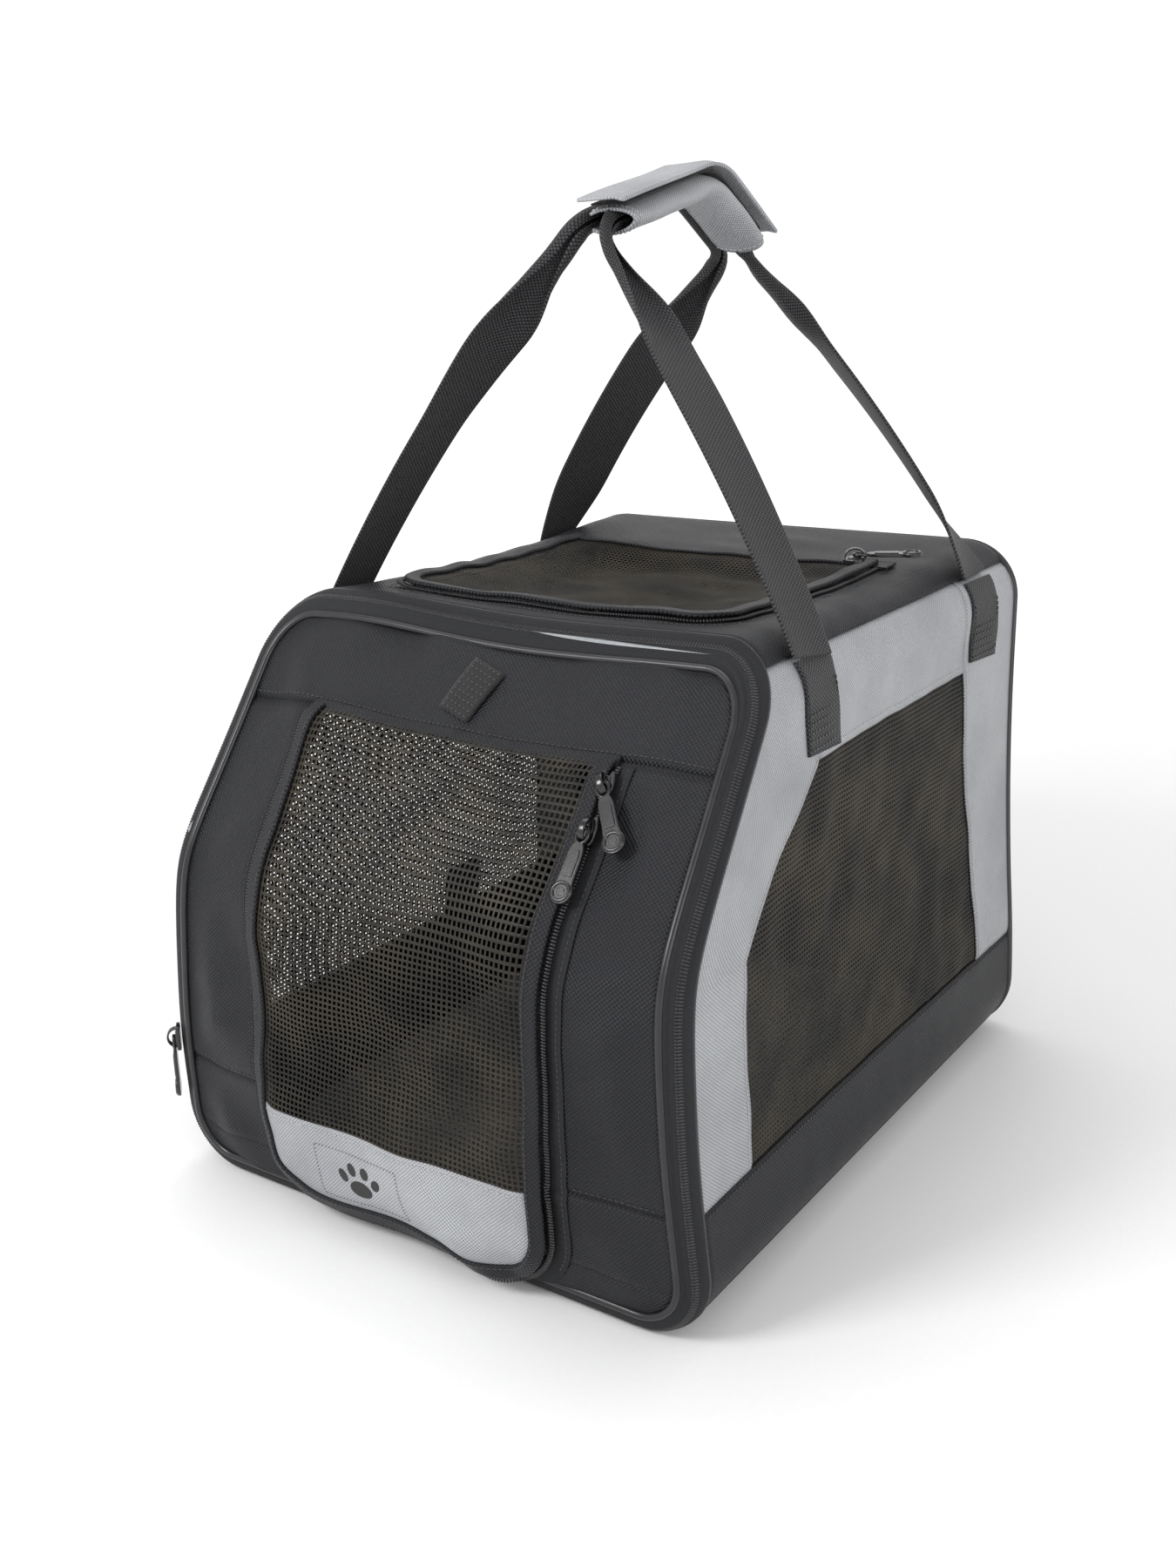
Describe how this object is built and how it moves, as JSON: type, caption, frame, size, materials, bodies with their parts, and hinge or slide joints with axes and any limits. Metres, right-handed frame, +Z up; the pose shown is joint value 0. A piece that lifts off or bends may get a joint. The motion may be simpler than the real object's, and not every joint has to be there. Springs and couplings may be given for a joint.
{
  "type": "pet carrier bag",
  "caption": "Soft-sided pet carrier with a sloping zipped mesh door, mesh side windows, zipped mesh top hatch, hooped zipped end panels and webbing handles joined by a padded grip.",
  "frame": {"origin": "middle of the bounding box footprint, on the floor", "axes": "+Z is up, -Y is the front with the door, +X is the right-hand side seen from the front"},
  "size_m": [0.3726, 0.455, 0.5797],
  "materials": {
    "black_oxford": "woven polyester, slight sheen",
    "grey_oxford": "woven polyester, slight sheen",
    "mesh": "open square-hole mesh, glossy threads",
    "piping_vinyl": "glossy vinyl over cord",
    "zip_tape": "herringbone tape",
    "zip_coil": "moulded nylon coil",
    "zip_metal": "gloss black enamel",
    "webbing": "coarse ribbed webbing",
    "hook_tape": "hook tape pile",
    "hoop_rod": "smooth rod",
    "board": "stiff sheet",
    "pad_fleece": "soft fleece"
  },
  "bodies": {
    "shell": {"front_hoop": "hoop_rod", "rear_hoop": "hoop_rod", "front_piping": "piping_vinyl", "rear_piping": "piping_vinyl", "front_edge_piping": "piping_vinyl", "rear_edge_piping": "piping_vinyl", "front_zip_tape": "zip_tape", "rear_zip_tape": "zip_tape", "front_zip_coil": "zip_coil", "rear_zip_coil": "zip_coil", "front_header": "black_oxford", "front_left_panel": "black_oxford", "front_right_panel": "black_oxford", "front_base_band": "black_oxford", "door_zip_tape": "zip_tape", "keeper_tab": "hook_tape", "rear_panel": "black_oxford", "rear_base_band": "black_oxford", "top_panel": "black_oxford", "hatch_zip_tape": "zip_tape", "bottom_panel": "black_oxford", "left_front_trim": "grey_oxford", "left_top_trim": "grey_oxford", "left_rear_trim": "grey_oxford", "left_window": "mesh", "left_base_band": "black_oxford", "right_front_trim": "grey_oxford", "right_top_trim": "grey_oxford", "right_rear_trim": "grey_oxford", "right_window": "mesh", "right_base_band": "black_oxford", "base_board": "board", "floor_pad": "pad_fleece", "tether_tab": "webbing", "left_strap_ends": "webbing", "right_strap_ends": "webbing"},
    "door": {"door_mesh": "mesh", "door_band": "grey_oxford", "door_binding": "black_oxford", "door_zip_coil": "zip_coil"},
    "hatch": {"hatch_mesh": "mesh", "hatch_binding": "black_oxford", "hatch_zip_coil": "zip_coil"},
    "left_handle": {"left_loop": "webbing"},
    "right_handle": {"right_loop": "webbing", "grip_sleeve": "grey_oxford", "grip_hook_tape": "hook_tape"},
    "flap": {"grip_flap": "grey_oxford"},
    "door_upper_slider": {"door_upper_slider": "zip_metal"},
    "door_upper_pull": {"door_upper_pull": "zip_metal"},
    "door_lower_slider": {"door_lower_slider": "zip_metal"},
    "door_lower_pull": {"door_lower_pull": "zip_metal"},
    "hatch_slider": {"hatch_slider": "zip_metal"},
    "hatch_pull": {"hatch_pull": "zip_metal"},
    "front_zip_slider": {"front_zip_slider": "zip_metal"},
    "front_zip_pull": {"front_zip_pull": "zip_metal"},
    "rear_zip_slider": {"rear_zip_slider": "zip_metal"},
    "rear_zip_pull": {"rear_zip_pull": "zip_metal"}
  },
  "joints": [
    {"name": "door_hinge", "type": "hinge", "parent": "shell", "child": "door", "pos_m": [0, -0.15799, 0.2842], "axis": [-1, 0, 0], "range_deg": [0, 120]},
    {"name": "door_upper_run", "type": "slide", "parent": "door", "child": "door_upper_slider", "axis": [0, -0.6424, -0.7664], "range_m": [0, 0.005]},
    {"name": "door_upper_swing", "type": "hinge", "parent": "door_upper_slider", "child": "door_upper_pull", "pos_m": [0.1037, -0.17111, 0.27917], "axis": [-0.8387, -0.3499, -0.4174], "range_deg": [0, 60]},
    {"name": "door_lower_run", "type": "slide", "parent": "door", "child": "door_lower_slider", "axis": [0, -0.6424, -0.7664], "range_m": [0, 0.04]},
    {"name": "door_lower_swing", "type": "hinge", "parent": "door_lower_slider", "child": "door_lower_pull", "pos_m": [0.1037, -0.18688, 0.26017], "axis": [-1, 0, 0], "range_deg": [0, 120]},
    {"name": "hatch_hinge", "type": "hinge", "parent": "shell", "child": "hatch", "pos_m": [0, 0.125, 0.3434], "axis": [-1, 0, 0], "range_deg": [0, 12]},
    {"name": "hatch_run", "type": "slide", "parent": "hatch", "child": "hatch_slider", "axis": [0, -1, 0], "range_m": [0, 0.08]},
    {"name": "hatch_swing", "type": "hinge", "parent": "hatch_slider", "child": "hatch_pull", "pos_m": [0.1147, 0.09, 0.351], "axis": [0.454, -0.891, 0], "range_deg": [0, 120]},
    {"name": "front_zip_run", "type": "slide", "parent": "shell", "child": "front_zip_slider", "axis": [0.0528, -0.0365, 0.9979], "range_m": [0, 0.06]},
    {"name": "front_zip_swing", "type": "hinge", "parent": "front_zip_slider", "child": "front_zip_pull", "pos_m": [-0.18257, -0.21908, 0.08405], "axis": [-0.7057, 0.7057, 0.0632], "range_deg": [0, 120]},
    {"name": "rear_zip_run", "type": "slide", "parent": "shell", "child": "rear_zip_slider", "axis": [0.0528, 0.0352, 0.998], "range_m": [0, 0.06]},
    {"name": "rear_zip_swing", "type": "hinge", "parent": "rear_zip_slider", "child": "rear_zip_pull", "pos_m": [-0.18257, 0.22099, 0.08405], "axis": [0.7057, 0.7057, -0.0623], "range_deg": [0, 120]},
    {"name": "left_loop_fall", "type": "hinge", "parent": "shell", "child": "left_handle", "pos_m": [-0.16572, 0.052, 0.32722], "axis": [0, -1, 0], "range_deg": [0, 175]},
    {"name": "right_loop_fall", "type": "hinge", "parent": "shell", "child": "right_handle", "pos_m": [0.16572, 0.052, 0.32722], "axis": [0, 1, 0], "range_deg": [0, 175]},
    {"name": "flap_lift", "type": "hinge", "parent": "right_handle", "child": "flap", "pos_m": [-0.007, 0.07, 0.579], "axis": [0, -1, 0], "range_deg": [0, 60]}
  ]
}
